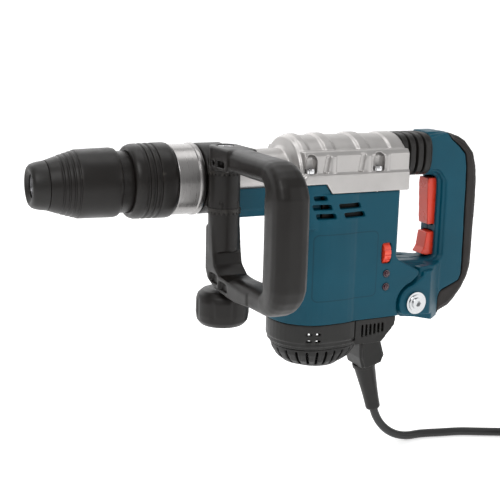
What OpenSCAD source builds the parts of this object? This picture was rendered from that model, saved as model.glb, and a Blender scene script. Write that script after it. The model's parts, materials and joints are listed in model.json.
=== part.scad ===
// Electric demolition hammer with a round shank socket,
// a crank-driven air-cushion striking gear, a sprung rear D-handle and
// a swivelling front loop handle. +X runs from the nose to the rear
// handle along the barrel, +Z is up, the origin is the mouth of the
// tool socket on the barrel axis.

/* [Tool socket] */
// Radius of the tool socket bore
socket_r = 9.1; // [8.6:0.1:9.6]
// Depth of the tool socket
socket_len = 90; // [84:1:90]
// Travel of the locking sleeve
sleeve_travel = 8; // [5:0.5:8]

/* [Striking gear] */
// Bore radius of the cylinder tube
cyl_r = 19; // [18.5:0.1:19.2]
// Throw of the crank pin
crank_throw = 10; // [8:0.5:10]
// Teeth on the armature pinion
pinion_teeth = 9; // [9:1:9]
// Teeth on the crank gear
gear_teeth = 40; // [40:1:40]
// Gear module
gear_mod = 1.25; // [1.25:0.05:1.25]

/* [Housing] */
// Radius of the motor housing bulge
motor_r = 40; // [39.6:0.1:40.4]
// Wall thickness of the plastic housings
wall = 3; // [2.5:0.1:3.2]
// Half width of the rear handle
grip_half = 19; // [18:0.5:20]

/* [Front handle] */
// Radius of the round grip bar
bar_r = 15.5; // [14:0.5:16]
// Distance from the clamp bolt to the grip bar
bar_reach = 115; // [110:1:118]

/* [Mains cord] */
// Diameter of the cord
cord_d = 8.5; // [8:0.1:8.8]

/* [Hidden] */

// Distance from the nose datum to the mouth of the socket
nose = 4;
// Motor axis and crank axis, measured from the nose datum
mx = 276;
gc = gear_mod * (pinion_teeth + gear_teeth) / 2;
kx = mx + gc;
// Rear handle pivot
px = 368.4;
pz = -127;
// Front handle clamp bolt
bx = 160;
by = -39;
// Level of the surface that the cord lies on
floor_z = -290;
cz0 = floor_z + cord_d / 2;
// Coil centre
ccx = 521;
ccy = -108;
eps = 0.01;

// ---- helpers ----
module at() translate([-nose, 0, 0]) children();
module rx(n = 96) rotate([0, 90, 0]) rotate_extrude($fn = n) children();
module cx(x0, x1, r, y = 0, z = 0, n = 72) translate([x0, y, z]) rotate([0, 90, 0]) cylinder(h = x1 - x0, r = r, $fn = n);
module cy(y0, y1, r, x = 0, z = 0, n = 72) translate([x, y0, z]) rotate([-90, 0, 0]) cylinder(h = y1 - y0, r = r, $fn = n);
module cz(z0, z1, r, x = 0, y = 0, n = 72) translate([x, y, z0]) cylinder(h = z1 - z0, r = r, $fn = n);
module bx3(x0, x1, y0, y1, z0, z1) translate([x0, y0, z0]) cube([x1 - x0, y1 - y0, z1 - z0]);
// Outline in XZ pushed out along Y
module xz(pts, y0, y1) translate([0, y1, 0]) rotate([90, 0, 0]) linear_extrude(y1 - y0) polygon(pts);
// Outline in YZ pushed out along X
module yz(pts, x0, x1) translate([x0, 0, 0]) rotate([90, 0, 90]) linear_extrude(x1 - x0) polygon(pts);
module both() { children(); mirror([0, 1, 0]) children(); }
function arc(cx, cy, r, a0, a1, n) = [for (i = [0:n]) [cx + r * cos(a0 + (a1 - a0) * i / n), cy + r * sin(a0 + (a1 - a0) * i / n)]];
// Plan outline with rounded corners
function rr(x0, y0, x1, y1, r, n = 5) = concat(arc(x1 - r, y1 - r, r, 0, 90, n), arc(x0 + r, y1 - r, r, 90, 180, n), arc(x0 + r, y0 + r, r, 180, 270, n), arc(x1 - r, y0 + r, r, 270, 360, n));

// ---- swept tubes ----
function unit(v) = v / norm(v);
function tan3(p, i) = unit(p[min(i + 1, len(p) - 1)] - p[max(i - 1, 0)]);
function frames(p, i, n) = let (t = tan3(p, i), m = unit(n - t * (n * t))) i == len(p) - 1 ? [m] : concat([m], frames(p, i + 1, m));
module tube(p, r, s = 10, start = [0, 1, 0]) {
  f = frames(p, 0, start);
  k = len(p);
  v = [for (i = [0:k - 1]) let (t = tan3(p, i), b = cross(t, f[i])) for (j = [0:s - 1]) p[i] + r * (cos(360 * j / s) * f[i] + sin(360 * j / s) * b)];
  q = [for (i = [0:k - 2]) for (j = [0:s - 1]) let (a = i * s + j, b = i * s + (j + 1) % s) [a, b, b + s, a + s]];
  tri = [for (c = q) each [[c[0], c[2], c[1]], [c[0], c[3], c[2]]]];
  cap0 = [for (j = [1:s - 2]) [0, j, j + 1]];
  cap1 = [for (j = [1:s - 2]) [(k - 1) * s, (k - 1) * s + j + 1, (k - 1) * s + j]];
  polyhedron(points = v, faces = concat(tri, cap0, cap1));
}
// Helical compression spring along X
module spring_x(x0, x1, R, r, turns, y = 0, z = 0) {
  n = turns * 12;
  tube([for (i = [0:n]) [x0 + r + (x1 - x0 - 2 * r) * i / n, y + R * cos(30 * i), z + R * sin(30 * i)]], r, 6, [0, 1, 0]);
}

// ---- gears: involute flanks ----
function inv(rb, t) = [rb * (cos(t) + t * PI / 180 * sin(t)), rb * (sin(t) - t * PI / 180 * cos(t))];
function rot2(p, a) = [p[0] * cos(a) - p[1] * sin(a), p[0] * sin(a) + p[1] * cos(a)];
function gear_pts(z, m, back, add, ded) = let (
  rp = m * z / 2, rb = rp * cos(20), ro = rp + add * m, rf = rp - ded * m,
  tp = sqrt(pow(rp / rb, 2) - 1) * 180 / PI, to = sqrt(pow(ro / rb, 2) - 1) * 180 / PI,
  ap = atan2(inv(rb, tp)[1], inv(rb, tp)[0]),
  half = 90 / z - back / rp * 180 / PI / 2,
  fl = [for (i = [0:4]) let (p = inv(rb, to * i / 4)) rot2(p, -ap - half)],
  side = concat(rf < rb ? [rot2([rf, 0], -ap - half)] : [], fl),
  tooth = concat(side, [for (i = [len(side) - 1:-1:0]) [side[i][0], -side[i][1]]])
) [for (k = [0:z - 1]) each [for (p = tooth) rot2(p, k * 360 / z)]];

// ---- tool holder and sleeve ----
module dust_cap() color([0.08, 0.08, 0.08]) at() rx() polygon([[13.4, 0.6], [14.6, 0], [16.6, 0.5], [18.2, 2], [19.3, 4.6], [20.1, 8], [20.9, 13.7],
  [16.25, 13.7], [16.25, 11], [18, 10.2], [18, 8.6], [16.25, 8], [16.25, 3.9], [10.2, 3.9], [10.2, 2.8]]);

module locking_sleeve() color([0.13, 0.13, 0.13]) at() rx() polygon([[16.3, 14.2], [21.1, 14.2], [22.4, 18],
  [24.1, 23.2], [23.5, 23.8], [23.9, 25], [24.9, 25.2], [25.6, 27.6], [25, 28.2], [25.3, 29.4], [26.2, 29.6], [26.9, 32], [26.3, 32.6], [26.6, 33.8], [27.5, 34], [28.1, 36.2], [27.6, 36.8], [27.9, 38], [28.8, 38.2],
  [29.2, 40], [29.9, 69.6], [29.3, 72.6], [28.2, 73.6], [26.6, 73.8], [26.6, 100], [24.2, 100], [24.2, 34.5], [19.4, 22], [16.3, 19]]);

module lock_ring() color([0.6, 0.6, 0.62]) at() rx() polygon([[17.2, 42], [24.15, 42], [24.15, 58], [17.2, 58]]);

module tool_holder() color([0.55, 0.55, 0.57]) at() difference() {
  rx() polygon([[socket_r, 4], [14.6, 4], [16.2, 5.6], [16.2, 8.2], [17.6, 8.8], [17.6, 10], [16.2, 10.8], [16, 14], [16, 88], [22.5, 88], [22.5, 91.5], [18, 91.5],
    [18, 143], [13, 143], [13, 4 + socket_len], [socket_r, 4 + socket_len]]);
  for (s = [-1, 1]) bx3(43, 57, min(s * 8, s * 18), max(s * 8, s * 18), -3, 3);
}

module locking_bars() color([0.7, 0.7, 0.72]) at() for (s = [0, 180]) rotate([s, 0, 0]) bx3(43.3, 56.7, 9.7, 16.6, -2.75, 2.75);

module lock_spring() color([0.5, 0.5, 0.5]) at() spring_x(58.4, 87.6, 20, 1.1, 5);

module index_ring() color([0.1, 0.1, 0.1]) at() rx() polygon([[26.9, 84], [29.6, 84], [31.2, 85.4], [32.4, 88.6], [32.6, 93.5], [31.3, 94], [31.3, 96], [32.7, 96.5],
  [32.7, 98.8], [31.4, 99.3], [31.4, 101.3], [32.8, 101.8], [32.8, 104.1], [31.5, 104.6], [31.5, 106.6], [32.9, 107.1], [33.1, 117.4], [32.6, 120], [31.4, 121.4],
  [18.1, 121.4], [18.1, 109.5], [26.9, 109.5]]);

module holder_bush() color([0.72, 0.53, 0.3]) at() rx() polygon([[18.05, 123], [19.95, 123], [19.95, 142.5], [18.05, 142.5]]);

// Steel flange: the smooth collar and the neck that the front clamp grips
module front_flange() color([0.66, 0.66, 0.67]) at() rx() polygon([[20, 122.2], [30.2, 122.2], [31, 123], [31, 141.4], [31.9, 142], [32.1, 143.4], [32.1, 145.2], [31.4, 146.6],
  [30, 147.2], [24.6, 147.2], [24.6, 176.5], [23.6, 177.6], [22.65, 177.6], [22.65, 149.4], [20, 149.4]]);

// ---- striking gear ----
module impact_bolt() color([0.6, 0.6, 0.62]) at() rx() polygon([[0, 96], [7.6, 96], [8.6, 97], [8.6, 112], [12.95, 114], [12.95, 136], [9.5, 138], [9.5, 149], [8.5, 150], [0, 150]]);

module ram() color([0.6, 0.6, 0.62]) at() rx() polygon([[0, 160], [12, 160], [cyl_r - 0.05, 163], [cyl_r - 0.05, 171], [cyl_r - 2.5, 171], [cyl_r - 2.5, 174],
  [cyl_r - 0.05, 174], [cyl_r - 0.05, 186], [0, 186]]);

module ram_seal() color([0.1, 0.1, 0.1]) at() rx() polygon([[cyl_r - 2.45, 171.2], [cyl_r - 0.06, 171.2], [cyl_r - 0.06, 173.8], [cyl_r - 2.45, 173.8]]);

module piston() color([0.75, 0.75, 0.77]) at() rx() polygon([[0, 200], [cyl_r - 0.05, 200], [cyl_r - 0.05, 202.5], [cyl_r - 2.2, 202.5], [cyl_r - 2.2, 205.1],
  [cyl_r - 0.05, 205.1], [cyl_r - 0.05, 245], [cyl_r - 2.4, 245], [cyl_r - 2.4, 206.6], [0, 206.6]]);

module piston_seal() color([0.1, 0.1, 0.1]) at() rx() polygon([[cyl_r - 2.15, 202.6], [cyl_r - 0.06, 202.6], [cyl_r - 0.06, 205], [cyl_r - 2.15, 205]]);

module cylinder_tube() color([0.6, 0.6, 0.62]) at() difference() {
  rx() polygon([[cyl_r, 150], [22.5, 150], [22.5, 272], [cyl_r, 272]]);
  for (a = [0:90:270]) rotate([a, 0, 0]) translate([193, 0, 0]) cylinder(h = 30, r = 2, $fn = 24);
}

module connecting_rod() color([0.65, 0.65, 0.67]) at() difference() {
  union() {
    cz(-6, 6, 9, kx - crank_throw);
    cz(-4, 4, 5, 237);
    bx3(239, kx - crank_throw - 6, -3.6, 3.6, -3.8, 3.8);
  }
  cz(-7, 7, 4.05, kx - crank_throw);
  cz(-7, 7, 2.55, 237);
}

module wrist_pin() color([0.75, 0.75, 0.77]) at() cz(-5.4, 5.4, 2.5, 237);

module crankshaft() color([0.6, 0.6, 0.62]) at() {
  cz(-60, -21, 6, kx);
  cz(-21, -9, 17, kx);
  cz(-9, 7, 4, kx - crank_throw);
}

module crank_gear() color([0.62, 0.62, 0.64]) at() translate([kx, 0, 0]) difference() {
  translate([0, 0, -46]) linear_extrude(10) polygon(gear_pts(gear_teeth, gear_mod, 0.24, 0.85, 1.2));
  cz(-47, -35, 6.0);
  for (a = [0:60:300]) rotate([0, 0, a]) cz(-47, -35, 4, 14.5);
}

module ball_ring(x, z0, z1, ri, ro) translate([x, 0, 0]) difference() { cz(z0, z1, ro); cz(z0 - 1, z1 + 1, ri); }
module crank_bearings() color([0.7, 0.7, 0.72]) at() { ball_ring(kx, -31, -23, 6.03, 13); ball_ring(kx, -60, -50, 6.03, 12); }

// ---- motor ----
module armature_shaft() color([0.6, 0.6, 0.62]) at() translate([mx, 0, 0]) {
  cz(-152, -46.5, 4);
  rotate([0, 0, 180 / pinion_teeth]) translate([0, 0, -46.5]) linear_extrude(11.5) polygon(gear_pts(pinion_teeth, gear_mod, 0.24, 0.8, 1.1));
}
module armature_core() color([0.5, 0.32, 0.2]) at() difference() {
  translate([mx, 0, 0]) { cz(-113, -73, 19); cz(-119, -67, 14); }
  translate([mx, 0, 0]) { cz(-120, -66, 4); for (a = [0:30:330]) rotate([0, 0, a]) bx3(17.2, 20, -0.9, 0.9, -114, -72); }
}
module commutator() color([0.72, 0.45, 0.25]) at() difference() {
  translate([mx, 0, 0]) cz(-138, -122, 12);
  translate([mx, 0, 0]) { cz(-139, -121, 4); for (a = [0:30:330]) rotate([0, 0, a]) bx3(11, 13, -0.4, 0.4, -139, -121); }
}
module fan() color([0.2, 0.2, 0.2]) at() translate([mx, 0, 0]) difference() {
  union() {
    difference() { cz(-66.5, -65, 29); cz(-67, -64, 4); }
    difference() { cz(-65.01, -61.5, 8); cz(-67, -61, 4); }
    for (a = [0:36:324]) rotate([0, 0, a]) bx3(10, 28, -0.9, 0.9, -65.01, -61.5);
  }
}
module motor_bearings() color([0.7, 0.7, 0.72]) at() { ball_ring(mx, -59.5, -51, 4.03, 11); ball_ring(mx, -152, -145, 4.03, 9.5); }
module stator() color([0.35, 0.35, 0.37]) at() translate([mx, 0, 0]) difference() {
  union() { cz(-115, -71, 35.5); cz(-121, -68, 31); }
  cz(-122, -67, 19.7);
  for (s = [-1, 1]) bx3(-8, 8, min(s * 15, s * 27), max(s * 15, s * 27), -122, -67);
}
module brush_holders() color([0.75, 0.6, 0.3]) at() for (s = [0, 180]) translate([mx, 0, 0]) rotate([0, 0, s]) difference() {
  bx3(15, 33, -5.5, 5.5, -135.5, -124.5);
  bx3(14, 31, -4, 4, -134, -126);
}
module carbon_brushes() color([0.15, 0.15, 0.15]) at() for (s = [0, 180]) translate([mx, 0, 0]) rotate([0, 0, s]) bx3(12.1, 27, -3.9, 3.9, -133.9, -126.1);

// ---- gear case ----
// Lower edge of the case, and the room under it
case_cut = [[230, -5], [262, -5], [268, -14], [360, -14], [360, -60], [230, -60]];
module gear_case() color([0.72, 0.72, 0.74]) at() difference() {
  union() {
    difference() {
      union() {
        rx() polygon([[0, 178], [24.5, 178], [24.5, 232], [27, 234], [35, 236], [36, 238], [36, 352], [0, 352]]);
        rx() polygon([[20, 240], [36, 240], [37.6, 241.6], [37.6, 248], [36, 249.6], [20, 249.6]]);
        rx() polygon([[20, 264], [36, 264], [37.8, 265.8], [37.8, 275], [36, 276.8], [20, 276.8]]);
        rx() polygon([[20, 300], [36, 300], [37.8, 301.8], [37.8, 312], [36, 313.8], [20, 313.8]]);
        rx() polygon([[20, 335], [36, 335], [37.2, 336.4], [37.2, 352], [20, 352]]);
        // upright side walls
        yz([[-37.5, 0], [37.5, 0], [37.5, 20.5], [34.6, 24.5], [-34.6, 24.5], [-37.5, 20.5]], 239.5, 351.6);
        // upright ribs down the walls
        for (x = [267, 304.5]) bx3(x, x + 4.4, -38.7, 38.7, 0, 20);
        for (x = [326]) bx3(x, x + 3, -38.3, 38.3, 0, 20);
        // flange that sits on the motor housing
        xz([[237, 3], [237, -20], [352, -20], [352, 5], [240, 5]], -38.5, 38.5);
        xz([[239, 1.5], [239, -20], [351, -20], [351, 3.5], [241, 3.5]], -40, 40);
      }
      xz(case_cut, -50, 50);
    }
    cx(178, 268, 24.5);
    // skirt inside the motor housing
    bx3(262, 340, -32, 32, -48.5, -13.9);
    // damper spigot at the back
    cx(352 - eps, 356, 8, 0, 16);
  }
  // bore for the cylinder tube
  cx(170, 274, 22.55);
  // crank room
  bx3(268, 346, -27, 27, -20, 18);
  cx(268, 346, 27, 0, 0);
  bx3(265, 337, -29, 29, -49.5, -31.5);
  bx3(265, 337, -27, 27, -22.5, -15);
  cz(-35, -10, 13, kx);
  bx3(265, 290, -12, 12, -40, -20);
  // pockets over the flange screws
  both() for (x = [246, 318]) { cz(5.2, 16, 6.2, x, -35.4); translate([x, -35.4, 16]) sphere(r = 6.2, $fn = 48); cz(-15, 6, 2.1, x, -34.6); }
  both() { xz([[258.5, 5], [263.4, 5], [266, 21], [261.4, 21]], -45, -35.4); xz([[295.5, 5], [300.8, 5], [303.4, 21.6], [298.4, 21.6]], -45, -35.4); }
}
module bearing_plate() color([0.7, 0.7, 0.72]) at() difference() {
  bx3(262, 340, -32, 32, -60.5, -48.6);
  cz(-61.5, -48, 11.0, mx);
  cz(-61.5, -48, 12.0, kx);
}
module screw_z(x, y, z, r, h, shank, sr) translate([x, y, z]) {
  difference() { cylinder(h = h, r = r, $fn = 48); translate([0, 0, h - 2.2]) cylinder(h = 3, r = r * 0.52, $fn = 6); }
  translate([0, 0, -shank]) cylinder(h = shank + eps, r = sr, $fn = 36);
}
module case_screws() color([0.75, 0.75, 0.78]) at() for (x = [246, 318], s = [-1, 1]) screw_z(x, s * 34.6, 5.25, 4.6, 4.2, 22, 2.05);

// ---- motor housing ----
// Plan of the motor bulge: two half rounds joined by flats
function bulge(r) = concat(arc(284, 0, r, -90, 90, 24), arc(268, 0, r, 90, 270, 24));
back_edge = concat([[343.5, -14.4], [343.5, -78], [346, -82], [369.5, -94.2], [371.2, -96], [370.8, -99]], arc(px, pz, 21.8, 104, 205, 10), [[350, -138]]);
module motor_housing() color([0.05, 0.3, 0.38]) at() difference() {
  union() {
    translate([0, 0, -138]) linear_extrude(138 - 14.4) polygon(bulge(motor_r));
    translate([0, 0, -46]) linear_extrude(40.6) polygon(rr(236, -38.2, 300, 38.2, 14, 8));
    xz(concat([[284, -14.4]], back_edge, [[284, -138]]), -36.5, 36.5);
    xz(concat([[284, -15.4]], [for (p = back_edge) [p[0] - 1.6, p[1]]], [[284, -138]]), -37.5, 37.5);
    // cradle under the barrel, and the web that joins it to the bulge
    yz([[-26.5, -7.4], [-26.5, -26], [-20, -34], [20, -34], [26.5, -26], [26.5, -7.4]], 179, 244);
    xz([[200, -30], [222, -34], [230, -44], [241, -66], [244, -66], [244, -20], [200, -20]], -17, 17);
    // ear that carries the rear handle pivot
    xz(concat([[338, -112], [338, -138], [356, -138.2]], arc(px, pz, 14.5, -110, 90, 14), [[354, -111]]), -21.8, 21.8);
  }
  // barrel clearance
  cx(170, 262, 24.8);
  // slot that the lower arm of the rear handle enters
  bx3(349, 390, -21.8, 21.8, -110.6, -78);
  // flange screw holes
  for (x = [246, 318], s = [-1, 1]) cz(-17.4, 0, 2.15, x, s * 34.6);
  // motor room
  translate([0, 0, -139]) linear_extrude(139 - 60.8) polygon(bulge(motor_r - wall));
  // skirt and bearing plate room
  bx3(261.6, 340.4, -32.4, 32.4, -61, -3);
  xz([[230, 4], [230, -5.3], [261.8, -5.3], [267.8, -14.3], [360, -14.3], [360, 4]], -50, 50);
  // electronics room
  bx3(300, 340.5, -33.5, 33.5, -139, -56);
  // warm air slots through both sides
  both() {
    xz([[249, -15.6], [262, -15.6], [264, -20], [251, -20]], -45, -30);
    xz([[248, -23.6], [267, -23.6], [269, -28.6], [250, -28.6]], -45, -30);
    xz([[275, -23.6], [299, -23.6], [301, -28.6], [277, -28.6]], -45, -30);
    xz([[252, -32.2], [272, -32.2], [274, -37.2], [254, -37.2]], -45, -30);
    xz([[281, -32.2], [304, -32.2], [306, -37.2], [283, -37.2]], -45, -30);
    // long crease above the flat panel
    bx3(252, 326, -42, -39.5, -46.2, -45.2);
  }
  // dial window and lamp seats on the near side
  xz(rr(326.6, -84.2, 336.6, -64.8, 1.5), -45, -30);
  xz(rr(325.4, -85.6, 337.8, -63.4, 5), -45, -36.8);
  xz(rr(326.6, -86.2, 336.6, -62.8, 2), -36, -30);
  for (z = [-94.5, -107.5]) cy(-45, -30, 3.6, 332.6, z, 36);
  // pivot bore
  cy(-30, 30, 5.05, px, pz);
}
module intake_cover() color([0.12, 0.12, 0.12]) at() {
  // bearing spider
  difference() { union() { cz(-153.5, -144.5, 12.5, mx); bx3(231, 321, -4, 4, -153.5, -146); } cz(-160, -140, 9.5, mx); }
  difference() {
  union() {
    translate([0, 0, -156]) linear_extrude(17.8) polygon(bulge(motor_r - 0.4));
    translate([0, 0, -160.5]) linear_extrude(5) polygon(bulge(motor_r - 1.6));
    translate([0, 0, -163.5]) linear_extrude(3.5) polygon(bulge(motor_r - 4));
  }
  translate([0, 0, -160]) linear_extrude(30) polygon(bulge(motor_r - 3.4));
  translate([0, 0, -170]) linear_extrude(30) polygon(bulge(motor_r - 9));
  // slot columns
  both() for (x = [249, 257], z = [-158 : 3.4 : -146]) bx3(x, x + 5.2, -45, -20, z, z + 1.7);
  }
}
module intake_grille() color([0.07, 0.07, 0.07]) at() difference() {
  union() {
    translate([0, 0, -166.5]) linear_extrude(9) polygon(bulge(motor_r - 9.3));
    translate([276, 0, 0]) rotate_extrude($fn = 96) polygon([[0, -186], [17, -186], [24, -184], [30.6, -178], [34.6, -170], [35.4, -163.7], [0, -163.7]]);
    translate([268, 0, 0]) rotate_extrude($fn = 96) polygon([[0, -184], [15, -184], [22, -182.4], [29, -177], [33.6, -169.6], [35, -163.9], [0, -163.9]]);
    translate([284, 0, 0]) rotate_extrude($fn = 96) polygon([[0, -184], [15, -184], [22, -182.4], [29, -177], [33.6, -169.6], [35, -163.9], [0, -163.9]]);
  }
  translate([276, 0, 0]) rotate_extrude($fn = 96) polygon([[0, -183], [15, -183], [26, -177], [29, -170], [29, -150], [0, -150]]);
  // air slits round the bowl
  for (a = [7.5:15:352.5]) translate([276, 0, 0]) rotate([0, 0, a]) bx3(24, 50, -1.1, 1.1, -181, -166);
  for (y = [-12:6:12]) bx3(262, 290, y - 1, y + 1, -190, -182);
}
module rear_cover() color([0.12, 0.12, 0.12]) at() difference() {
  xz([[290, -138.4], [347.4, -138.4], [346.4, -147], [332, -163], [290, -163]], -36, 36);
  translate([0, 0, -170]) linear_extrude(40) polygon(bulge(motor_r + 0.1));
  xz([[296, -138], [343.5, -138], [342.6, -146], [330.2, -159.8], [296, -159.8]], -32.5, 32.5);
  both() for (i = [0:5]) bx3(308.5 + i * 4.6, 310.7 + i * 4.6, -45, -30, -156 + i * 0.6, -143.5);
}
module speed_module() color([0.15, 0.35, 0.2]) at() { bx3(318, 321, -24, 24, -128, -66); bx3(321 - eps, 326, -18, -2, -120, -96); bx3(321 - eps, 325, 4, 18, -112, -84); }
// Thumb wheel of the stroke rate
module speed_dial() color([0.85, 0.16, 0.1]) at() difference() {
  union() { cx(328, 335.2, 12.5, -27.5, -74.5); cx(326.8, 328.1, 3, -27.5, -74.5); cx(335.1, 337, 3, -27.5, -74.5); }
  for (a = [0:24:336]) translate([0, -27.5, -74.5]) rotate([a, 0, 0]) bx3(327, 336, -0.7, 0.7, 11.9, 14);
}
module indicator_lamps() color([0.2, 0.1, 0.14]) at() for (z = [-94.5, -107.5]) { cy(-38, -31, 3.5, 332.6, z, 36); translate([332.6, -38, z]) scale(1) sphere(r = 2.6, $fn = 36); }

// ---- damper ----
function octo(w, zl, zh, c) = [[-w, zl + c], [-w + c, zl], [w - c, zl], [w, zl + c], [w, zh - c * 1.5], [w - c * 1.5, zh], [-w + c * 1.5, zh], [-w, zh - c * 1.5]];
module bellows() color([0.14, 0.14, 0.13]) at() difference() {
  union() {
    yz(octo(23.4, -6, 36.6, 7), 352.3, 363.5);
    yz(octo(20.6, -3, 33.8, 6), 363.4, 366.5);
    yz(octo(23.4, -6, 36.6, 7), 366.4, 373.5);
    yz(octo(20.6, -3, 33.8, 6), 373.4, 376.5);
    yz(octo(23.4, -6, 36.6, 7), 376.4, 388.1);
  }
  yz(octo(18.2, -0.6, 31.4, 5), 350, 390);
}
module damper_spring() color([0.5, 0.5, 0.5]) at() spring_x(356.2, 388, 10.5, 1.6, 4, 0, 16);

// ---- rear handle ----
blue_top = [[388.4, 37.2], [401, 37.2]];
pad_edge = [[418, 34.8], [428, 31.6], [436, 27.2], [446.5, 16], [451, 1], [453, -15], [453.2, -38], [453, -65], [453, -90], [452.4, -100], [450, -111], [443.6, -124.6], [433, -137.6], [427, -143], [413, -148.8]];
blue_low = [[396, -149.6], [384, -148.4], [372, -146], [368.4, -145.2]];
inner = [[388.4, -5.4], [398, -5.2], [402.5, -7], [404.4, -11], [405, -24], [405.4, -86], [403.4, -89.4], [398, -90.8], [386, -91], [363, -89.6], [358.4, -91], [357, -95], [357.6, -103.4], [366, -109]];
seam = [[408, 37.2], [412.7, 31.1], [424, 23], [431.9, 15.4], [434.4, 4], [435.3, -10], [435.5, -24], [437.2, -96], [437, -108], [434, -114.6], [422.2, -119.8], [411, -124.6], [408.6, -130], [408, -149.5]];
function rev(l) = [for (i = [len(l) - 1:-1:0]) l[i]];
// Pull an outline toward the spine of the handle
function spine(p) = p[0] < 401 && p[1] > -110 && p[1] < -80 ? [max(p[0], 364), -100] : p[0] < 404 && p[1] > -40 ? [p[0], 15.6] : p[1] > 2 ? [422, 4] : p[1] > -100 ? [429, p[1]] : [408, -116];
function pull(l, d) = [for (p = l) let (s = spine(p), v = s - p, n = norm(v)) n < 0.1 ? p : p + v / n * min(d, n * 0.6)];
// Side outline of the lower arm and the lobe round the pivot
arm_end = [[407.9, -149.2], [408.5, -130.2], [410.8, -124.8], [413, -123.6]];
arm_a = concat(arc(px, pz, 19.4, 100, 215, 12), [[356, -141.4], [372, -143.4], [384, -146.4], [396, -149.2]], arm_end, [[413, -92], [404, -92.4], [386, -92.4], [375.4, -93.4], [374.6, -99.8], [366.8, -107]]);
arm_b = concat(arc(px, pz, 18, 100, 215, 12), [[357, -138.6], [372, -139.6], [388, -141], [407.9, -143]], [for (i = [1:3]) arm_end[i]], [[413, -97], [400, -96.4], [386, -96], [377.6, -96.8], [376.6, -101.6]]);
// Plan of the arm, wide round the pivot and narrowing into the grip
arm_plan = [[340, -22.4], [340, -36.8], [386, -36.8], [408.4, -19.2], [413, -18.6], [413, -12], [390, -12], [390, -22.4]];
module blue_half() difference() {
  union() {
    xz(concat([blue_top[0]], seam, blue_low, rev(inner)), -grip_half + 6, 0);
    xz(concat(pull([blue_top[0]], 3), pull(seam, 0.5), pull(blue_low, 3), rev(pull(inner, 3))), -grip_half + 2.5, -grip_half + 6 + eps);
    xz(concat(pull([blue_top[0]], 6), pull(seam, 1.2), pull(blue_low, 6), rev(pull(inner, 6))), -grip_half, -grip_half + 2.6);
    intersection() {
      union() { xz(arm_a, -32, -11); xz(arm_b, -36.8, -31.9); }
      translate([0, 0, -160]) linear_extrude(80) polygon(arm_plan);
    }
  }
  // slot for the ear
  translate([0, 1, 0]) rotate([90, 0, 0]) linear_extrude(1 + 22.3) polygon(concat(arc(px, pz, 16.4, -100, 100, 18), [[350, -100], [340, -100], [340, -156], [352, -156]]));
  // switch room and trigger mouth
  bx3(409, 432, -12.5, 1, -86, -6);
  bx3(400, 410, -8.6, 1, -57.6, -8);
  bx3(400, 413.6, -8.6, 1, -89, -63.4);
  // wiring way along the top
  bx3(380, 415, -9, 1, 6, 26);
  cy(-50, 2, 5.0, px, pz);
  for (p = [[420, 10], [424, -101], [399, -121]]) cy(-14.5, 1, 2.1, p[0], p[1], 32);
}
module handle_left() color([0.05, 0.32, 0.4]) at() blue_half();
module handle_right() color([0.05, 0.32, 0.4]) at() difference() {
  mirror([0, 1, 0]) blue_half();
  for (p = [[420, 10], [424, -101], [399, -121]]) cy(14, 40, 4.2, p[0], p[1], 36);
}
function sh(l, d) = [for (q = l) [q[0] + d, q[1]]];
module grip_pad() color([0.16, 0.14, 0.13]) at() {
  xz(concat(pad_edge, rev(sh(seam, 0.15))), -grip_half + 9, grip_half - 9);
  both() xz(concat(pull(pad_edge, 1.8), rev(sh(seam, 0.15))), -grip_half + 5, -grip_half + 9 + eps);
  both() xz(concat(pull(pad_edge, 4.4), rev(sh(seam, 0.15))), -grip_half + 2, -grip_half + 5 + eps);
  both() xz(concat(pull(pad_edge, 8), rev(sh(seam, 0.15))), -grip_half - 0.2, -grip_half + 2 + eps);
}
module handle_screws() color([0.7, 0.7, 0.72]) at() for (p = [[420, 10], [424, -101], [399, -121]]) translate([p[0], 17.2, p[1]]) rotate([90, 0, 0]) difference() {
  union() { cylinder(h = 3, r = 4, $fn = 36); cylinder(h = 28, r = 2.0, $fn = 30); }
  translate([0, 0, -0.5]) cylinder(h = 2, r = 2.1, $fn = 6);
}
// Long red paddle and the short lever under it
module trigger() color([0.86, 0.2, 0.13]) at() {
  xz([[396.6, -9.6], [406, -9.6], [410.5, -12], [411.5, -30], [411.5, -54], [408, -56.4], [399.2, -56.4], [398.4, -54], [396.2, -16]], -8, 8);
  cy(-8.2, 8.2, 2.6, 407, -12.4, 36);
}
module lock_button() color([0.86, 0.2, 0.13]) at() xz([[398.6, -64.4], [408.6, -64.4], [408.6, -87.6], [399, -88], [392.6, -86], [396.4, -80]], -8, 8);
module switch_body() color([0.1, 0.1, 0.1]) at() { bx3(418, 431.5, -10, 10, -72, -22); bx3(416.2, 418.1, -4, 4, -50, -40); }
module pivot_bolt() color([0.7, 0.7, 0.72]) at() cy(-36.6, 36.6, 4.95, px, pz);
module pivot_caps() color([0.8, 0.8, 0.82]) at() both() difference() {
  union() { cy(-39.2, -37, 11, px, pz); cy(-40.4, -39.1, 8.4, px, pz); cy(-42, -40.3, 5.6, px, pz); }
  translate([px, -43, pz]) rotate([-90, 0, 0]) cylinder(h = 3.4, r = 3.2, $fn = 6);
}

// ---- front handle ----
module clamp_band() color([0.1, 0.1, 0.1]) at() difference() {
  union() {
    rx() polygon([[24.72, 148.4], [30.6, 148.4], [31.6, 149.6], [31.6, 172.4], [30.6, 173.6], [24.72, 173.6]]);
    // upright sleeve on the bolt
    cz(-21.6, 10.4, 13.6, bx, by);
    bx3(149.5, 172.5, by + 2, -20, -21.5, 8);
    // bolt lugs
    bx3(151, 169, by - 12, -24, -21.5, -14);
  }
  cx(140, 180, 24.72);
  cz(10.45, 60, 14.6, bx, by);
  cz(-60, -21.65, 15.2, bx, by);
  cz(-40, 40, 4.3, bx, by);
}
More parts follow.
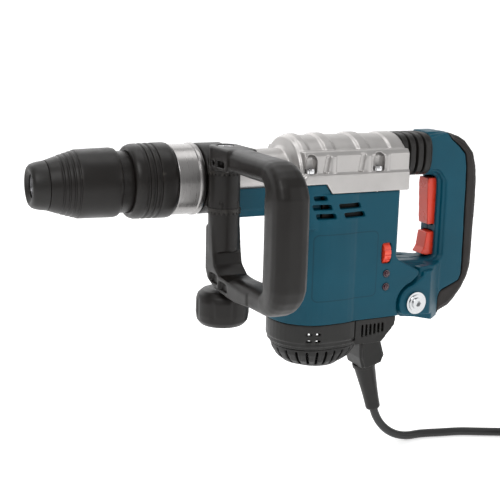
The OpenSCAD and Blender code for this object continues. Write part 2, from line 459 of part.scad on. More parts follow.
// Loop path in the YZ plane, round the grip
loop_path = concat([for (p = [[-58, 24.4], [-74, 24.4], [-94, 24.3], [-114, 24.2]]) p], arc(22 + by - bar_reach, 2.4, 22, 96, 168, 6), [[by - bar_reach, -14], [by - bar_reach, -30], [by - bar_reach, -46]],
  arc(22 + by - bar_reach, -58.5, 22, 192, 264, 6), [[-114, -81], [-100, -82], [-88, -82.6], [-78, -83]]);
function lf(i) = i < 5 ? 0 : i < 10 ? (i - 4) / 6 : i < 15 ? 1 : i < 20 ? (20 - i) / 6 : 0;
function lr(i) = [12.8 + (bar_r - 12.8) * lf(i), 9.8 + (bar_r - 9.7) * lf(i)];
module loop_sweep() {
  k = len(loop_path); s = 16;
  v = [for (i = [0:k - 1]) let (a = loop_path[max(i - 1, 0)], b = loop_path[min(i + 1, k - 1)], t = (b - a) / norm(b - a), n = [-t[1], t[0]], r = lr(i))
    for (j = [0:s - 1]) [bx + r[0] * sign(cos(360 * j / s + 11.25)) * pow(abs(cos(360 * j / s + 11.25)), 0.62), loop_path[i][0] + n[0] * r[1] * sign(sin(360 * j / s + 11.25)) * pow(abs(sin(360 * j / s + 11.25)), 0.62), loop_path[i][1] + n[1] * r[1] * sign(sin(360 * j / s + 11.25)) * pow(abs(sin(360 * j / s + 11.25)), 0.62)]];
  q = [for (i = [0:k - 2]) for (j = [0:s - 1]) let (a = i * s + j, b = i * s + (j + 1) % s) [a, b, b + s, a + s]];
  polyhedron(points = v, faces = concat([for (c = q) each [[c[0], c[1], c[2]], [c[0], c[2], c[3]]]], [for (j = [1:s - 2]) [0, j + 1, j]], [for (j = [1:s - 2]) [(k - 1) * s, (k - 1) * s + j, (k - 1) * s + j + 1]]));
}
module loop_grip() color([0.13, 0.13, 0.12]) at() difference() {
  union() {
    loop_sweep();
    // upper ear
    cz(10.8, 34, 13.8, bx, by);
    yz([[by, 14.6], [by, 34], [-70, 34.2], [-74, 33.4], [-74, 15.4], [-70, 14.6]], 146.6, 173.4);
    // lower sleeve, and the broad leg that runs out to the grip
    cz(-57.5, -22, 13.8, bx, by);
    yz([[-30, -36], [-44, -36], [-47, -56], [-50, -68], [-61, -75.4], [-90, -77], [-114, -78], [-114, -88], [-90, -90.6], [-74, -90.2], [-50, -88.4], [-35, -83], [-30, -75]], 146.4, 173.6);
  }
  cz(-110, 60, 4.3, bx, by);
  // nut pocket on top
  translate([bx, by, 28]) cylinder(h = 10, r = 8, $fn = 6);
  // lightening slots in the front of the ear
  bx3(140, 152, -46, -40, 17.6, 21.6);
  bx3(140, 152, -66, -50, 17.6, 22.4);
  // recesses in the side of the leg
  bx3(140, 150, -56, -40, -84, -76);
  bx3(140, 150, -76, -60, -86.6, -80);
}
module clamp_bolt() color([0.72, 0.72, 0.74]) at() { cz(-107.6, 28.2, 4, bx, by); difference() { translate([bx, by, 28.2 - eps]) cylinder(h = 5, r = 7.4, $fn = 6); cz(31.5, 34, 3.2, bx, by); } }
module clamp_knob() color([0.11, 0.11, 0.11]) at() difference() {
  translate([bx, by, 0]) rotate_extrude($fn = 72) polygon([[4.05, -91.2], [12, -91.2], [18, -92.8], [22, -96.4], [23.4, -101], [23.6, -113], [22.6, -119.4], [19.4, -123.2], [15, -124.4], [4.05, -124.4]]);
  for (a = [0:45:315]) translate([bx, by, 0]) rotate([0, 0, a]) cz(-140, -80, 5, 27.6);
  cz(-126, -108, 9, bx, by);
}

// ---- cord ----
module cord_gland() color([0.1, 0.08, 0.08]) at() difference() {
  union() {
    xz([[321.5, -163.3], [341, -163.3], [346.6, -172], [351, -186], [348.1, -191.2], [325.9, -197.44], [322.5, -186]], -14, 14);
    xz([[323, -163.3], [339, -163.3], [344, -173], [348, -186], [345.8, -191.9], [328.3, -196.8], [324.2, -186]], -17, 17);
  }
  translate([336.54, 0, -196.53]) rotate([0, -15.7, 0]) cylinder(h = 28, r = 8.2, $fn = 48);
}
bend = 15.7;
module cord_boot() color([0.09, 0.09, 0.09]) at() translate([336, 0, -194.6]) rotate([0, 180 - bend, 0]) difference() {
  rotate_extrude($fn = 72) polygon([[0, -16], [8.1, -16], [8.1, 0.3], [11.6, 0.3], [11.9, 1.5], [11.9, 4.6], [10.8, 5], [10.2, 12], [9.3, 22], [8.4, 32], [7.7, 44], [7.5, 52.4], [7, 53.6], [0, 53.6]]);
  translate([0, 0, 40]) cylinder(h = 20, r = cord_d / 2 + 0.02, $fn = 48);
}
// Where the cord runs, from inside the end of the boot to the coil
route_a = [[347.5, 0, -235], [350.5, 0, -246], [353.5, 0, -254.5], [358, 0, -262.5], [364, 0, -270], [371, 0, -276], [379, 0, -280.8], [388, 0, -284], [397.5, 0, cz0],
  [408, 0, cz0], [419, -2, cz0], [430, -5.2, cz0], [456, -12.2, cz0], [474, -20.6, cz0], [492, -29, cz0], [510, -37.2, cz0], [528, -45.6, cz0], [541, -51.6, cz0], [551, -56.6, cz0]];
// From the coil to the plug
route_b = [[572, -104, -268.7], [572, -115, -268.7], [572, -127, -268.7], [572, -138, -268.8], [571.6, -149, -270.6], [569.4, -160, -276], [564.4, -170.4, -282], [556.6, -179.4, cz0], [546.6, -186, cz0], [535, -189.4, cz0], [522, -190, cz0], [512, -190, cz0], [502, -190, cz0]];
module mains_cord() color([0.06, 0.06, 0.06]) at() { tube(route_a, cord_d / 2, 10); tube(route_b, cord_d / 2, 10, [1, 0, 0]); }
module cord_coil() color([0.06, 0.06, 0.06]) at() translate([ccx, ccy, floor_z]) rotate_extrude($fn = 72) polygon([[38.3, 0.2], [63.7, 0.2], [63.7, 25.4], [46.7, 25.4], [46.7, 17.2], [38.3, 17]]);
module cord_tie() color([0.12, 0.12, 0.12]) at() translate([ccx, ccy, floor_z]) rotate([0, 0, 235]) difference() {
  bx3(36.4, 65.6, -6, 6, 0.0, 27.4);
  bx3(38, 64, -7, 7, 0.15, 25.8);
}
module mains_plug() color([0.07, 0.07, 0.07]) at() translate([10, -190, 0]) {
  difference() {
    union() {
      rotate([0, 0, 0]) translate([494, 0, cz0 + 0.6]) rotate([0, -90, 0]) rotate_extrude($fn = 48) polygon([[0, 0], [6.2, 0], [7.4, 6], [8.2, 14], [9.6, 20], [0, 20]]);
      bx3(452, 475, -13, 13, floor_z, floor_z + 22);
      bx3(466, 478, -10.5, 10.5, floor_z + 0.2, floor_z + 19);
    }
    cx(484, 500, cord_d / 2 + 0.02, 0, cz0);
  }
}
module plug_pins() color([0.78, 0.7, 0.4]) at() translate([10, -190, 0]) {
  for (s = [-1, 1]) bx3(434, 452.0, s * 6.35 - 0.8, s * 6.35 + 0.8, floor_z + 8, floor_z + 14.4);
}

dust_cap();
locking_sleeve();
lock_ring();
tool_holder();
locking_bars();
lock_spring();
index_ring();
holder_bush();
front_flange();
impact_bolt();
ram();
ram_seal();
piston();
piston_seal();
cylinder_tube();
connecting_rod();
wrist_pin();
crankshaft();
crank_gear();
crank_bearings();
armature_shaft();
armature_core();
commutator();
fan();
motor_bearings();
stator();
brush_holders();
carbon_brushes();
gear_case();
bearing_plate();
case_screws();
motor_housing();
intake_cover();
intake_grille();
rear_cover();
speed_module();
speed_dial();
indicator_lamps();
bellows();
damper_spring();
handle_left();
handle_right();
grip_pad();
handle_screws();
trigger();
lock_button();
switch_body();
pivot_bolt();
pivot_caps();
clamp_band();
loop_grip();
clamp_bolt();
clamp_knob();
cord_gland();
cord_boot();
mains_cord();
cord_coil();
cord_tie();
mains_plug();
plug_pins();
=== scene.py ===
import json
import math
import bpy
import bmesh
from mathutils import Vector, Matrix


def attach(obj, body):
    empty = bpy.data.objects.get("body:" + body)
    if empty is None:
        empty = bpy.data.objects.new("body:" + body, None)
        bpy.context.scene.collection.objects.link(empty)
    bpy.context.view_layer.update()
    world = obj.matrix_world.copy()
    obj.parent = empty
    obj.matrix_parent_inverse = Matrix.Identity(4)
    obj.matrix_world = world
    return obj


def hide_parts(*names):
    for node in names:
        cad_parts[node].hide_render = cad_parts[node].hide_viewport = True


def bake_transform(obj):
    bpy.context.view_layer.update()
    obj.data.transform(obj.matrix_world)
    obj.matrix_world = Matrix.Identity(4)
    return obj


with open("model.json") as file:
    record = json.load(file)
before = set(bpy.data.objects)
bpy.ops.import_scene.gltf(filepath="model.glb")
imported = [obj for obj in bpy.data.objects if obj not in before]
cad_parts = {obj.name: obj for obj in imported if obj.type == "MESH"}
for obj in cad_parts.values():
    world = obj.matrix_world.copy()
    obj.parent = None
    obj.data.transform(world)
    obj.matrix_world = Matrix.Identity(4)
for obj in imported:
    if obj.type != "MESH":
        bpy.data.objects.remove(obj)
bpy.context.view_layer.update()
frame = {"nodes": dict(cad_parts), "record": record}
sc = bpy.context.scene
sc.view_settings.view_transform = "Standard"
sc.view_settings.look = "None"


def link(o):
    sc.collection.objects.link(o)
    return o


def mesh_obj(name, verts, faces, smooth=True):
    me = bpy.data.meshes.new(name)
    me.from_pydata([tuple(v) for v in verts], [], faces)
    bm = bmesh.new()
    bm.from_mesh(me)
    bmesh.ops.recalc_face_normals(bm, faces=bm.faces)
    bm.to_mesh(me)
    bm.free()
    for p in me.polygons:
        p.use_smooth = smooth
    return link(bpy.data.objects.new(name, me))


# ------------------------------------------------------------- camera
az, el, roll = math.radians(-26.139), math.radians(12.743), 0.02473
right = Vector((math.cos(az), math.sin(az), 0))
back = Vector((math.sin(az) * math.cos(el), -math.cos(az) * math.cos(el), math.sin(el)))
up = back.cross(right)
r2 = math.cos(roll) * right + math.sin(roll) * up
u2 = -math.sin(roll) * right + math.cos(roll) * up
cam = link(bpy.data.objects.new("camera", bpy.data.cameras.new("camera")))
cam.data.lens = 71.58
cam.data.sensor_width = 36.0
cam.data.clip_start, cam.data.clip_end = 0.01, 50
cam.matrix_world = Matrix(((r2.x, u2.x, back.x, -0.1956), (r2.y, u2.y, back.y, -0.8083), (r2.z, u2.z, back.z, 0.1340), (0, 0, 0, 1)))
sc.camera = cam

# ------------------------------------------------------------- the cord
CD = 8.5
FLOOR = -290.0
CZ0 = FLOOR + CD / 2
route_a = [(347.5, 0, -235), (350.5, 0, -246), (353.5, 0, -254.5), (358, 0, -262.5), (364, 0, -270), (371, 0, -276), (379, 0, -280.8), (388, 0, -284), (397.5, 0, CZ0),
           (408, 0, CZ0), (419, -2, CZ0), (430, -5.2, CZ0), (456, -12.2, CZ0), (474, -20.6, CZ0), (492, -29, CZ0), (510, -37.2, CZ0), (528, -45.6, CZ0), (541, -51.6, CZ0)]
route_b = [(572, -115, -268.7), (572, -127, -268.7), (572, -138, -268.8), (571.6, -149, -270.6), (569.4, -160, -276), (564.4, -170.4, -282), (556.6, -179.4, CZ0), (546.6, -186, CZ0), (535, -189.4, CZ0), (522, -190, CZ0), (512, -190, CZ0), (502, -190, CZ0)]
CCX, CCY = 521.0, -108.0
PHI0 = 59.73


def ease(t, a, b, v0, v1):
    if t <= a:
        return v0
    if t >= b:
        return v1
    s = (t - a) / (b - a)
    return v0 + (v1 - v0) * (s * s * (3 - 2 * s))


def coil_rz(t):
    g = CD + 0.02
    r = 59.5 - ease(t, 0.72, 0.98, 0, g) - ease(t, 1.72, 1.98, 0, g) + ease(t, 3.58, 3.84, 0, g) + ease(t, 4.58, 4.84, 0, g) - ease(t, 5.62, 5.88, 0, g)
    z = CZ0 + ease(t, 2.80, 3.12, 0, g) + ease(t, 5.32, 5.58, 0, g)
    return r, z


TURNS = (PHI0 + 6 * 360) / 360
coil = []
N = int(TURNS * 40)
for i in range(0, N + 1):
    t = TURNS * i / N
    a = math.radians(PHI0 - 360 * t)
    r, z = coil_rz(t)
    coil.append((CCX + r * math.cos(a), CCY + r * math.sin(a), z))


def catmull(pts, n):
    out = []
    p = [Vector(q) for q in pts]
    p = [p[0] * 2 - p[1]] + p + [p[-1] * 2 - p[-2]]
    for i in range(1, len(p) - 2):
        p0, p1, p2, p3 = p[i - 1], p[i], p[i + 1], p[i + 2]
        d = [max((b - a).length, 1e-6) ** 0.5 for a, b in ((p0, p1), (p1, p2), (p2, p3))]
        m1 = (p1 - p0) / d[0] - (p2 - p0) / (d[0] + d[1]) + (p2 - p1) / d[1]
        m2 = (p2 - p1) / d[1] - (p3 - p1) / (d[1] + d[2]) + (p3 - p2) / d[2]
        m1, m2 = m1 * d[1], m2 * d[1]
        k = max(1, int(round((p2 - p1).length / n)))
        for j in range(k):
            s = j / k
            out.append((2 * s ** 3 - 3 * s ** 2 + 1) * p1 + (s ** 3 - 2 * s ** 2 + s) * m1 + (-2 * s ** 3 + 3 * s ** 2) * p2 + (s ** 3 - s ** 2) * m2)
    out.append(p[-2])
    return out


line = catmull(route_a + coil + route_b, 3.0)
line = [Vector(((p.x - 4) / 1000, p.y / 1000, p.z / 1000)) for p in line]
for _ in range(3):
    line = [line[0]] + [(line[i - 1] + line[i] * 2 + line[i + 1]) / 4 for i in range(1, len(line) - 1)] + [line[-1]]
rings, SIDES = [], 14
tang = [(line[min(i + 1, len(line) - 1)] - line[max(i - 1, 0)]).normalized() for i in range(len(line))]
nrm = tang[0].cross(Vector((0, 1, 0))).normalized()
cv, cf = [], []
for i, p in enumerate(line):
    nrm = (nrm - tang[i] * nrm.dot(tang[i])).normalized()
    bn = tang[i].cross(nrm)
    for k in range(SIDES):
        a = 2 * math.pi * k / SIDES
        cv.append(p + (nrm * math.cos(a) + bn * math.sin(a)) * (CD / 2000))
for i in range(len(line) - 1):
    for k in range(SIDES):
        a, b = i * SIDES + k, i * SIDES + (k + 1) % SIDES
        cf.append((a, b, b + SIDES, a + SIDES))
cf.append(tuple(range(SIDES)))
cf.append(tuple(range((len(line) - 1) * SIDES, len(line) * SIDES)))
lead = mesh_obj("mains_cord_lead", cv, cf)
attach(lead, "root")
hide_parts("mains_cord", "cord_coil")

# ------------------------------------------------------------- materials


def lin(r, g, b):
    f = lambda c: (c / 255 / 12.92) if c / 255 <= 0.04045 else ((c / 255 + 0.055) / 1.055) ** 2.4
    return (f(r), f(g), f(b), 1)


def material(name, colour, rough, metal=0.0, var=0.12, var_scale=30, grain=0.0, grain_scale=900, wear=None, wear_amt=0.0, rough_var=0.06, stretch=None, coat=0.0, spec=0.5, painted_shade_below=None, crease_shade_rect=None):
    m = bpy.data.materials.new(name)
    m.use_nodes = True
    nt = m.node_tree
    N, L = nt.nodes, nt.links
    b = N["Principled BSDF"]
    b.inputs["Metallic"].default_value = metal
    b.inputs["Specular IOR Level"].default_value = spec
    if coat:
        b.inputs["Coat Weight"].default_value = coat
        b.inputs["Coat Roughness"].default_value = 0.08
    tc = N.new("ShaderNodeTexCoord")
    src = tc.outputs["Object"]
    big = N.new("ShaderNodeTexNoise")
    big.inputs["Scale"].default_value = var_scale
    big.inputs["Detail"].default_value = 5
    L.new(src, big.inputs["Vector"])
    lo = tuple(c * (1 - var) for c in colour[:3]) + (1,)
    hi = tuple(min(1, c * (1 + var)) for c in colour[:3]) + (1,)
    ramp = N.new("ShaderNodeValToRGB")
    ramp.color_ramp.elements[0].position, ramp.color_ramp.elements[1].position = 0.3, 0.7
    ramp.color_ramp.elements[0].color, ramp.color_ramp.elements[1].color = lo, hi
    L.new(big.outputs["Fac"], ramp.inputs["Fac"])
    col = ramp.outputs["Color"]
    fine = N.new("ShaderNodeTexNoise")
    fine.inputs["Detail"].default_value = 3
    if stretch:
        mp = N.new("ShaderNodeMapping")
        mp.inputs["Scale"].default_value = stretch
        L.new(src, mp.inputs["Vector"])
        L.new(mp.outputs["Vector"], fine.inputs["Vector"])
        fine.inputs["Scale"].default_value = 1.0
    else:
        L.new(src, fine.inputs["Vector"])
        fine.inputs["Scale"].default_value = grain_scale
    if wear is not None:
        geo = N.new("ShaderNodeNewGeometry")
        wr = N.new("ShaderNodeMapRange")
        wr.inputs["From Min"].default_value, wr.inputs["From Max"].default_value = 0.52, 0.60
        L.new(geo.outputs["Pointiness"], wr.inputs["Value"])
        mul = N.new("ShaderNodeMath")
        mul.operation = "MULTIPLY"
        L.new(wr.outputs["Result"], mul.inputs[0])
        br = N.new("ShaderNodeTexNoise")
        br.inputs["Scale"].default_value = 180
        br.inputs["Detail"].default_value = 4
        L.new(src, br.inputs["Vector"])
        m2 = N.new("ShaderNodeMapRange")
        m2.inputs["From Min"].default_value, m2.inputs["From Max"].default_value = 0.35, 0.65
        m2.inputs["To Max"].default_value = wear_amt
        L.new(br.outputs["Fac"], m2.inputs["Value"])
        L.new(m2.outputs["Result"], mul.inputs[1])
        mix = N.new("ShaderNodeMix")
        mix.data_type = "RGBA"
        L.new(mul.outputs[0], mix.inputs["Factor"])
        L.new(col, mix.inputs["A"])
        mix.inputs["B"].default_value = wear
        col = mix.outputs["Result"]
    # painted shade: below the given height the colour is pushed to near black, standing in for the shade inside the
    # housing around the cast aluminium skirt
    if painted_shade_below is not None:
        sep = N.new("ShaderNodeSeparateXYZ")
        L.new(src, sep.inputs["Vector"])
        lt = N.new("ShaderNodeMath")
        lt.operation = "LESS_THAN"
        lt.inputs[1].default_value = painted_shade_below
        L.new(sep.outputs["Z"], lt.inputs[0])
        dk = N.new("ShaderNodeMix")
        dk.data_type = "RGBA"
        L.new(lt.outputs[0], dk.inputs["Factor"])
        L.new(col, dk.inputs["A"])
        dk.inputs["B"].default_value = (0.012, 0.012, 0.012, 1)
        col = dk.outputs["Result"]
    crease_shade_fac = None
    if crease_shade_rect is not None:
        # painted shade along a moulded crease: the edge of a rounded rectangle on the side walls is darkened in
        # colour
        def mth(op, a, c=None, clamp=False):
            q = N.new("ShaderNodeMath")
            q.operation = op
            q.use_clamp = clamp
            for k, w in enumerate((a, c)):
                if w is None:
                    continue
                if isinstance(w, (int, float)):
                    q.inputs[k].default_value = w
                else:
                    L.new(w, q.inputs[k])
            return q.outputs[0]
        sp3 = N.new("ShaderNodeSeparateXYZ")
        L.new(src, sp3.inputs["Vector"])
        x0, x1, z0, z1, rad, wid = crease_shade_rect
        qx = mth("SUBTRACT", mth("ABSOLUTE", mth("SUBTRACT", sp3.outputs["X"], (x0 + x1) / 2)), (x1 - x0) / 2 - rad)
        qz = mth("SUBTRACT", mth("ABSOLUTE", mth("SUBTRACT", sp3.outputs["Z"], (z0 + z1) / 2)), (z1 - z0) / 2 - rad)
        ax, azz = mth("MAXIMUM", qx, 0.0), mth("MAXIMUM", qz, 0.0)
        out = mth("SQRT", mth("ADD", mth("MULTIPLY", ax, ax), mth("MULTIPLY", azz, azz)))
        dist = mth("SUBTRACT", mth("ADD", out, mth("MINIMUM", mth("MAXIMUM", qx, qz), 0.0)), rad)
        near = mth("SUBTRACT", 1.0, mth("DIVIDE", mth("ABSOLUTE", dist), wid), clamp=True)
        side = mth("GREATER_THAN", mth("ABSOLUTE", sp3.outputs["Y"]), 0.030)
        crease_shade_fac = mth("MULTIPLY", near, side)
        dk2 = N.new("ShaderNodeMix")
        dk2.data_type = "RGBA"
        L.new(mth("MULTIPLY", crease_shade_fac, 0.55), dk2.inputs["Factor"])
        L.new(col, dk2.inputs["A"])
        dk2.inputs["B"].default_value = tuple(c * 0.35 for c in colour[:3]) + (1,)
        col = dk2.outputs["Result"]
    L.new(col, b.inputs["Base Color"])
    rr = N.new("ShaderNodeMapRange")
    rr.inputs["To Min"].default_value, rr.inputs["To Max"].default_value = max(0.02, rough - rough_var), min(1, rough + rough_var)
    rr.inputs["From Min"].default_value, rr.inputs["From Max"].default_value = 0.3, 0.7
    rn = N.new("ShaderNodeTexNoise")
    rn.inputs["Scale"].default_value = 70
    rn.inputs["Detail"].default_value = 6
    L.new(src, rn.inputs["Vector"])
    L.new((fine if stretch else rn).outputs["Fac"], rr.inputs["Value"])
    L.new(rr.outputs["Result"], b.inputs["Roughness"])
    if grain:
        bu = N.new("ShaderNodeBump")
        bu.inputs["Strength"].default_value = grain
        bu.inputs["Distance"].default_value = 0.0004
        L.new(fine.outputs["Fac"], bu.inputs["Height"])
        L.new(bu.outputs["Normal"], b.inputs["Normal"])
    return m


TEAL = lin(0, 70, 88)
M = {
    "rubber_black": material("rubber_black", lin(19, 17, 15), 0.44, spec=0.38, grain=0.12, grain_scale=1300, var=0.12, wear=lin(85, 82, 78), wear_amt=0.25),
    "plastic_black": material("plastic_black", lin(20, 17, 15), 0.40, spec=0.32, grain=0.14, grain_scale=1500, var=0.08, wear=lin(98, 94, 88), wear_amt=0.3),
    "plastic_charcoal": material("plastic_charcoal", lin(20, 19, 17), 0.40, spec=0.38, grain=0.12, grain_scale=1400, var=0.08, wear=lin(92, 88, 82), wear_amt=0.3),
    "grille_black": material("grille_black", lin(18, 17, 16), 0.46, spec=0.35, grain=0.12, grain_scale=1400, var=0.1, wear=lin(70, 68, 65), wear_amt=0.25),
    "steel_dark": material("steel_dark", (0.26, 0.26, 0.27, 1), 0.33, 1, grain=0.03, stretch=(1500, 40, 40), var=0.06, rough_var=0.04),
    "steel_collar": material("steel_collar", (0.34, 0.33, 0.325, 1), 0.30, 1, grain=0.02, stretch=(1500, 30, 30), var=0.04, rough_var=0.04),
    "bearing_steel": material("bearing_steel", (0.6, 0.6, 0.62, 1), 0.2, 1, grain=0.05, stretch=(40, 40, 2200), var=0.05),
    "bronze": material("bronze", (0.55, 0.36, 0.16, 1), 0.38, 1, grain=0.08, grain_scale=1500, var=0.1),
    "seal_rubber": material("seal_rubber", (0.025, 0.025, 0.025, 1), 0.4, grain=0.05),
    "piston_alloy": material("piston_alloy", (0.66, 0.66, 0.67, 1), 0.3, 1, grain=0.08, stretch=(2600, 40, 40), var=0.06),
    "copper_iron": material("copper_iron", (0.33, 0.15, 0.07, 1), 0.35, 0.8, grain=0.3, stretch=(60, 60, 3000), var=0.2),
    "commutator_copper": material("commutator_copper", (0.62, 0.3, 0.16, 1), 0.25, 1, grain=0.08, stretch=(60, 60, 3000), var=0.1),
    "carbon": material("carbon", (0.05, 0.05, 0.052, 1), 0.5, grain=0.1),
    # the cast aluminium gets painted shade below z = -14.2 mm, on the skirt that sits inside the motor housing
    "cast_aluminium": material("cast_aluminium", (0.47, 0.455, 0.445, 1), 0.38, 0.86, grain=0.13, grain_scale=1100, var=0.05, var_scale=45, rough_var=0.05, wear=(0.70, 0.69, 0.68, 1), wear_amt=0.5, painted_shade_below=-0.0142),
    "screw_steel": material("screw_steel", (0.72, 0.72, 0.73, 1), 0.22, 1, grain=0.05, grain_scale=1500, var=0.06),
    "chrome_cap": material("chrome_cap", (0.56, 0.57, 0.58, 1), 0.16, 1, grain=0.02, grain_scale=800, var=0.03, rough_var=0.03),
    "plastic_blue": material("plastic_blue", TEAL, 0.40, spec=0.22, grain=0.10, grain_scale=1500, var=0.07, var_scale=25, rough_var=0.05, wear=lin(50, 120, 140), wear_amt=0.35),
    # the housing teal gets a painted shade line along the crease of a rounded rectangle on its side walls
    "housing_blue": material("housing_blue", TEAL, 0.40, spec=0.22, grain=0.10, grain_scale=1500, var=0.07, var_scale=25, rough_var=0.05, wear=lin(50, 120, 140), wear_amt=0.35,
                             crease_shade_rect=(0.2480, 0.3170, -0.1150, -0.0520, 0.005, 0.0009)),
    "plastic_red": material("plastic_red", lin(224, 62, 38), 0.3, grain=0.04, grain_scale=1300, var=0.05, coat=0.15, wear=lin(245, 120, 95), wear_amt=0.4),
    "lamp_lens": material("lamp_lens", lin(58, 20, 34), 0.12, grain=0.02, var=0.1, coat=0.6),
    "circuit": material("circuit", (0.03, 0.12, 0.06, 1), 0.4, grain=0.2, grain_scale=600, var=0.2),
    "grip_rubber": material("grip_rubber", lin(30, 25, 23), 0.54, spec=0.35, grain=0.22, grain_scale=1100, var=0.09, wear=lin(96, 90, 86), wear_amt=0.25),
    "cord_black": material("cord_black", lin(30, 30, 30), 0.42, grain=0.06, grain_scale=1200, var=0.1),
    "tie_fabric": material("tie_fabric", lin(30, 30, 32), 0.9, grain=0.6, grain_scale=2200, var=0.2),
    "pin_brass": material("pin_brass", (0.72, 0.55, 0.3, 1), 0.25, 1, grain=0.04, stretch=(40, 2200, 2200), var=0.06),
}
slot_of = {s["node"]: s["material_slot"] for s in frame["record"]["subparts"]}


def paint(o, m):
    if o.type == "MESH" and not o.material_slots:
        o.data.materials.append(m)
    for s in o.material_slots:
        s.material = m


for n, o in frame["nodes"].items():
    paint(o, M[slot_of[n]])
paint(lead, M["cord_black"])
paint(frame["nodes"]["motor_housing"], M["housing_blue"])


def helix(name, xa, xb, rad, wire, turns, y0, z0, n=26, sides=10):
    vs, fs = [], []
    total = int(turns * n) + 1
    for i in range(total):
        t = i / (total - 1)
        a = 2 * math.pi * turns * t
        c = Vector((xa + wire + (xb - xa - 2 * wire) * t, y0 + rad * math.cos(a), z0 + rad * math.sin(a)))
        rdl = Vector((0, math.cos(a), math.sin(a)))
        for k in range(sides):
            b = 2 * math.pi * k / sides
            vs.append((c + rdl * (wire * math.cos(b)) + Vector((1, 0, 0)) * (wire * math.sin(b))) / 1000)
    for i in range(total - 1):
        for k in range(sides):
            q = (k + 1) % sides
            fs.append((i * sides + k, i * sides + q, (i + 1) * sides + q, (i + 1) * sides + k))
    fs.append(tuple(range(sides)))
    fs.append(tuple(range((total - 1) * sides, total * sides)))
    return mesh_obj(name, vs, fs)


lsp = helix("lock_spring_coil", 54.4, 83.6, 20, 1.0, 5, 0, 0)
paint(lsp, M["screw_steel"])
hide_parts("lock_spring")
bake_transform(lsp)
dsp = helix("damper_spring_coil", 352.2, 384.0, 10.5, 1.5, 4, 0, 16)
paint(dsp, M["screw_steel"])
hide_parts("damper_spring")
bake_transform(dsp)

# ------------------------------------------------------------- moulded and cast shells: rounded edges
VOX = {
    "motor_housing": (0.65, 4), "gear_case": (0.75, 5), "intake_cover": (0.75, 3), "intake_grille": (0.75, 3), "rear_cover": (0.75, 3),
    "handle_left": (0.9, 9), "handle_right": (0.9, 9), "grip_pad": (0.9, 9), "clamp_band": (0.65, 4), "loop_grip": (0.9, 12), "clamp_knob": (0.8, 6),
    "trigger": (0.6, 5), "lock_button": (0.6, 6), "cord_gland": (0.6, 5), "mains_plug": (0.7, 6),
}
for n, (vox, it) in VOX.items():
    o = frame["nodes"][n]
    r = o.modifiers.new("skin", "REMESH")
    r.mode = "VOXEL"
    r.voxel_size = vox / 1000
    r.adaptivity = 0.0
    r.use_smooth_shade = True
    s = o.modifiers.new("soften", "SMOOTH")
    s.factor = 0.5
    s.iterations = it
for n, o in frame["nodes"].items():
    if n not in VOX and not o.hide_render:
        w = o.modifiers.new("weld", "WELD")
        w.merge_threshold = 0.000005
        bv = o.modifiers.new("edge", "BEVEL")
        bv.width = 0.00025
        bv.segments = 2
        bv.limit_method = "ANGLE"
        bv.angle_limit = math.radians(38)
        bv.harden_normals = False

# ------------------------------------------------------------- toothed rims at the two seams of the clamp sleeve


def crown(name, z_flat, z_near, z_far, r_in, r_out, teeth=22):
    vs, fs = [], []
    n2 = teeth * 2
    for k in range(n2):
        a = 2 * math.pi * k / n2
        ze = z_far if k % 2 else z_near
        for r, z in ((r_in, z_flat), (r_out - 0.15, z_flat), (r_out, z_flat + (0.3 if z_flat < ze else -0.3)), (r_out, ze), (r_in, ze)):
            vs.append(((156 + r * math.cos(a)) / 1000, (-39 + r * math.sin(a)) / 1000, z / 1000))
    for k in range(n2):
        q = (k + 1) % n2
        for c in range(5):
            d = (c + 1) % 5
            fs.append((k * 5 + c, k * 5 + d, q * 5 + d, q * 5 + c))
    return mesh_obj(name, vs, fs, smooth=False)


for nm, body, args in (("upper_seam_teeth", "loop_handle", (13.0, 11.0, 8.7, 13.75, 14.15)), ("lower_seam_teeth", "clamp", (-19.6, -22.4, -25.0, 13.95, 14.35))):
    t = crown(nm, *args)
    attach(t, body)
    paint(t, M["plastic_black"])
    bv = t.modifiers.new("edge", "BEVEL")
    bv.width = 0.0001
    bv.segments = 1
    bv.limit_method = "ANGLE"
lip = crown("lower_seam_lip", -20.2, -19.6, -19.6, 13.4, 14.35)
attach(lip, "clamp")
paint(lip, M["plastic_black"])
# ------------------------------------------------------------- bellows


def rounded(w, zl, zh, c, n=64):
    pts = []
    cz, hz = (zl + zh) / 2, (zh - zl) / 2
    for i in range(n):
        a = 2 * math.pi * i / n
        k = 3.1
        ca, sa = math.cos(a), math.sin(a)
        pts.append((w * math.copysign(abs(ca) ** (2 / k), ca), cz + hz * math.copysign(abs(sa) ** (2 / k), sa)))
    return pts


prof = []
x0, x1 = 348.5, 384.0
FOLDS = 4
for i in range(0, 91):
    s = i / 90
    ph = (s * FOLDS) % 1.0
    tri = abs(ph - 0.5) * 2
    t = min(1.0, max(0.0, (tri - 0.60) / 0.22))
    d = 3.8 * t * t * (3 - 2 * t)
    if s < 0.02 or s > 0.98:
        d = 0.6
    prof.append((x0 + (x1 - x0) * s, d))
verts, faces = [], []
n = 72
for x, d in prof:
    for (y, z) in rounded(23.4 - d, -5.6 + d, 36.4 - d, 6, n):
        verts.append((x / 1000, y / 1000, z / 1000))
for i in range(len(prof) - 1):
    for j in range(n):
        a, b = i * n + j, i * n + (j + 1) % n
        faces.append((a, b, b + n, a + n))
m0 = len(verts)
for k, (x, d) in ((0, prof[0]), (1, prof[-1])):
    for (y, z) in rounded(18.2, -0.6, 31.4, 6, n):
        verts.append((x / 1000, y / 1000, z / 1000))
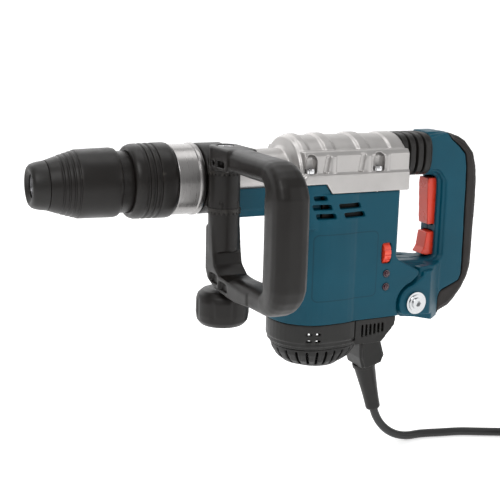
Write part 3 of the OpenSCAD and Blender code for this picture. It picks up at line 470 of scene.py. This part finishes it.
for j in range(n):
    k = (j + 1) % n
    last = (len(prof) - 1) * n
    faces.append((j, m0 + j, m0 + k, k))
    faces.append((last + j, last + k, m0 + n + k, m0 + n + j))
    faces.append((m0 + j, m0 + n + j, m0 + n + k, m0 + k))
bel = mesh_obj("bellows_skin", verts, faces)
paint(bel, M["rubber_black"])
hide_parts("bellows")
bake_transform(bel)

# ------------------------------------------------------------- floor and light
fl = []
ny = []
for i in range(0, 25):
    a = math.pi / 2 * i / 24
    ny.append((2.2 + 1.2 * math.sin(a), -0.2901 + 1.2 * (1 - math.cos(a))))
prof2 = [(-4.0, -0.2901), (0.0, -0.2901)] + ny + [(3.4, 5.0)]
v, f = [], []
for (y, z) in prof2:
    v += [(-7, y, z), (7, y, z)]
for i in range(len(prof2) - 1):
    f.append((2 * i, 2 * i + 1, 2 * i + 3, 2 * i + 2))
floor = mesh_obj("floor", v, f)
fm = material("floor_paper", (0.90, 0.90, 0.90, 1), 0.7, var=0.01, var_scale=3, grain=0.03, grain_scale=300)
fb = fm.node_tree.nodes["Principled BSDF"]
fb.inputs["Emission Color"].default_value = (1, 1, 1, 1)
fb.inputs["Emission Strength"].default_value = 0.48
paint(floor, fm)
w = bpy.data.worlds.new("studio")
sc.world = w
w.use_nodes = True
w.node_tree.nodes["Background"].inputs["Color"].default_value = (1, 1, 1, 1)
w.node_tree.nodes["Background"].inputs["Strength"].default_value = 0.44


def area(name, loc, target, size, power, size_y=None):
    d = bpy.data.lights.new(name, "AREA")
    d.energy = power
    d.shape = "RECTANGLE"
    d.size = size
    d.size_y = size_y or size
    o = link(bpy.data.objects.new(name, d))
    o.location = loc
    o.rotation_mode = "QUATERNION"
    o.rotation_quaternion = (Vector(target) - Vector(loc)).to_track_quat("-Z", "Y")
    return o


C = (0.2, 0, -0.07)
area("key", (-0.9, -1.3, 1.6), C, 1.1, 18)
area("top", (0.25, 0.15, 1.7), C, 1.6, 9, 0.9)
area("fill", (1.6, -1.4, 0.6), C, 1.2, 6)
area("rim", (0.2, 1.4, 1.0), C, 1.4, 5)
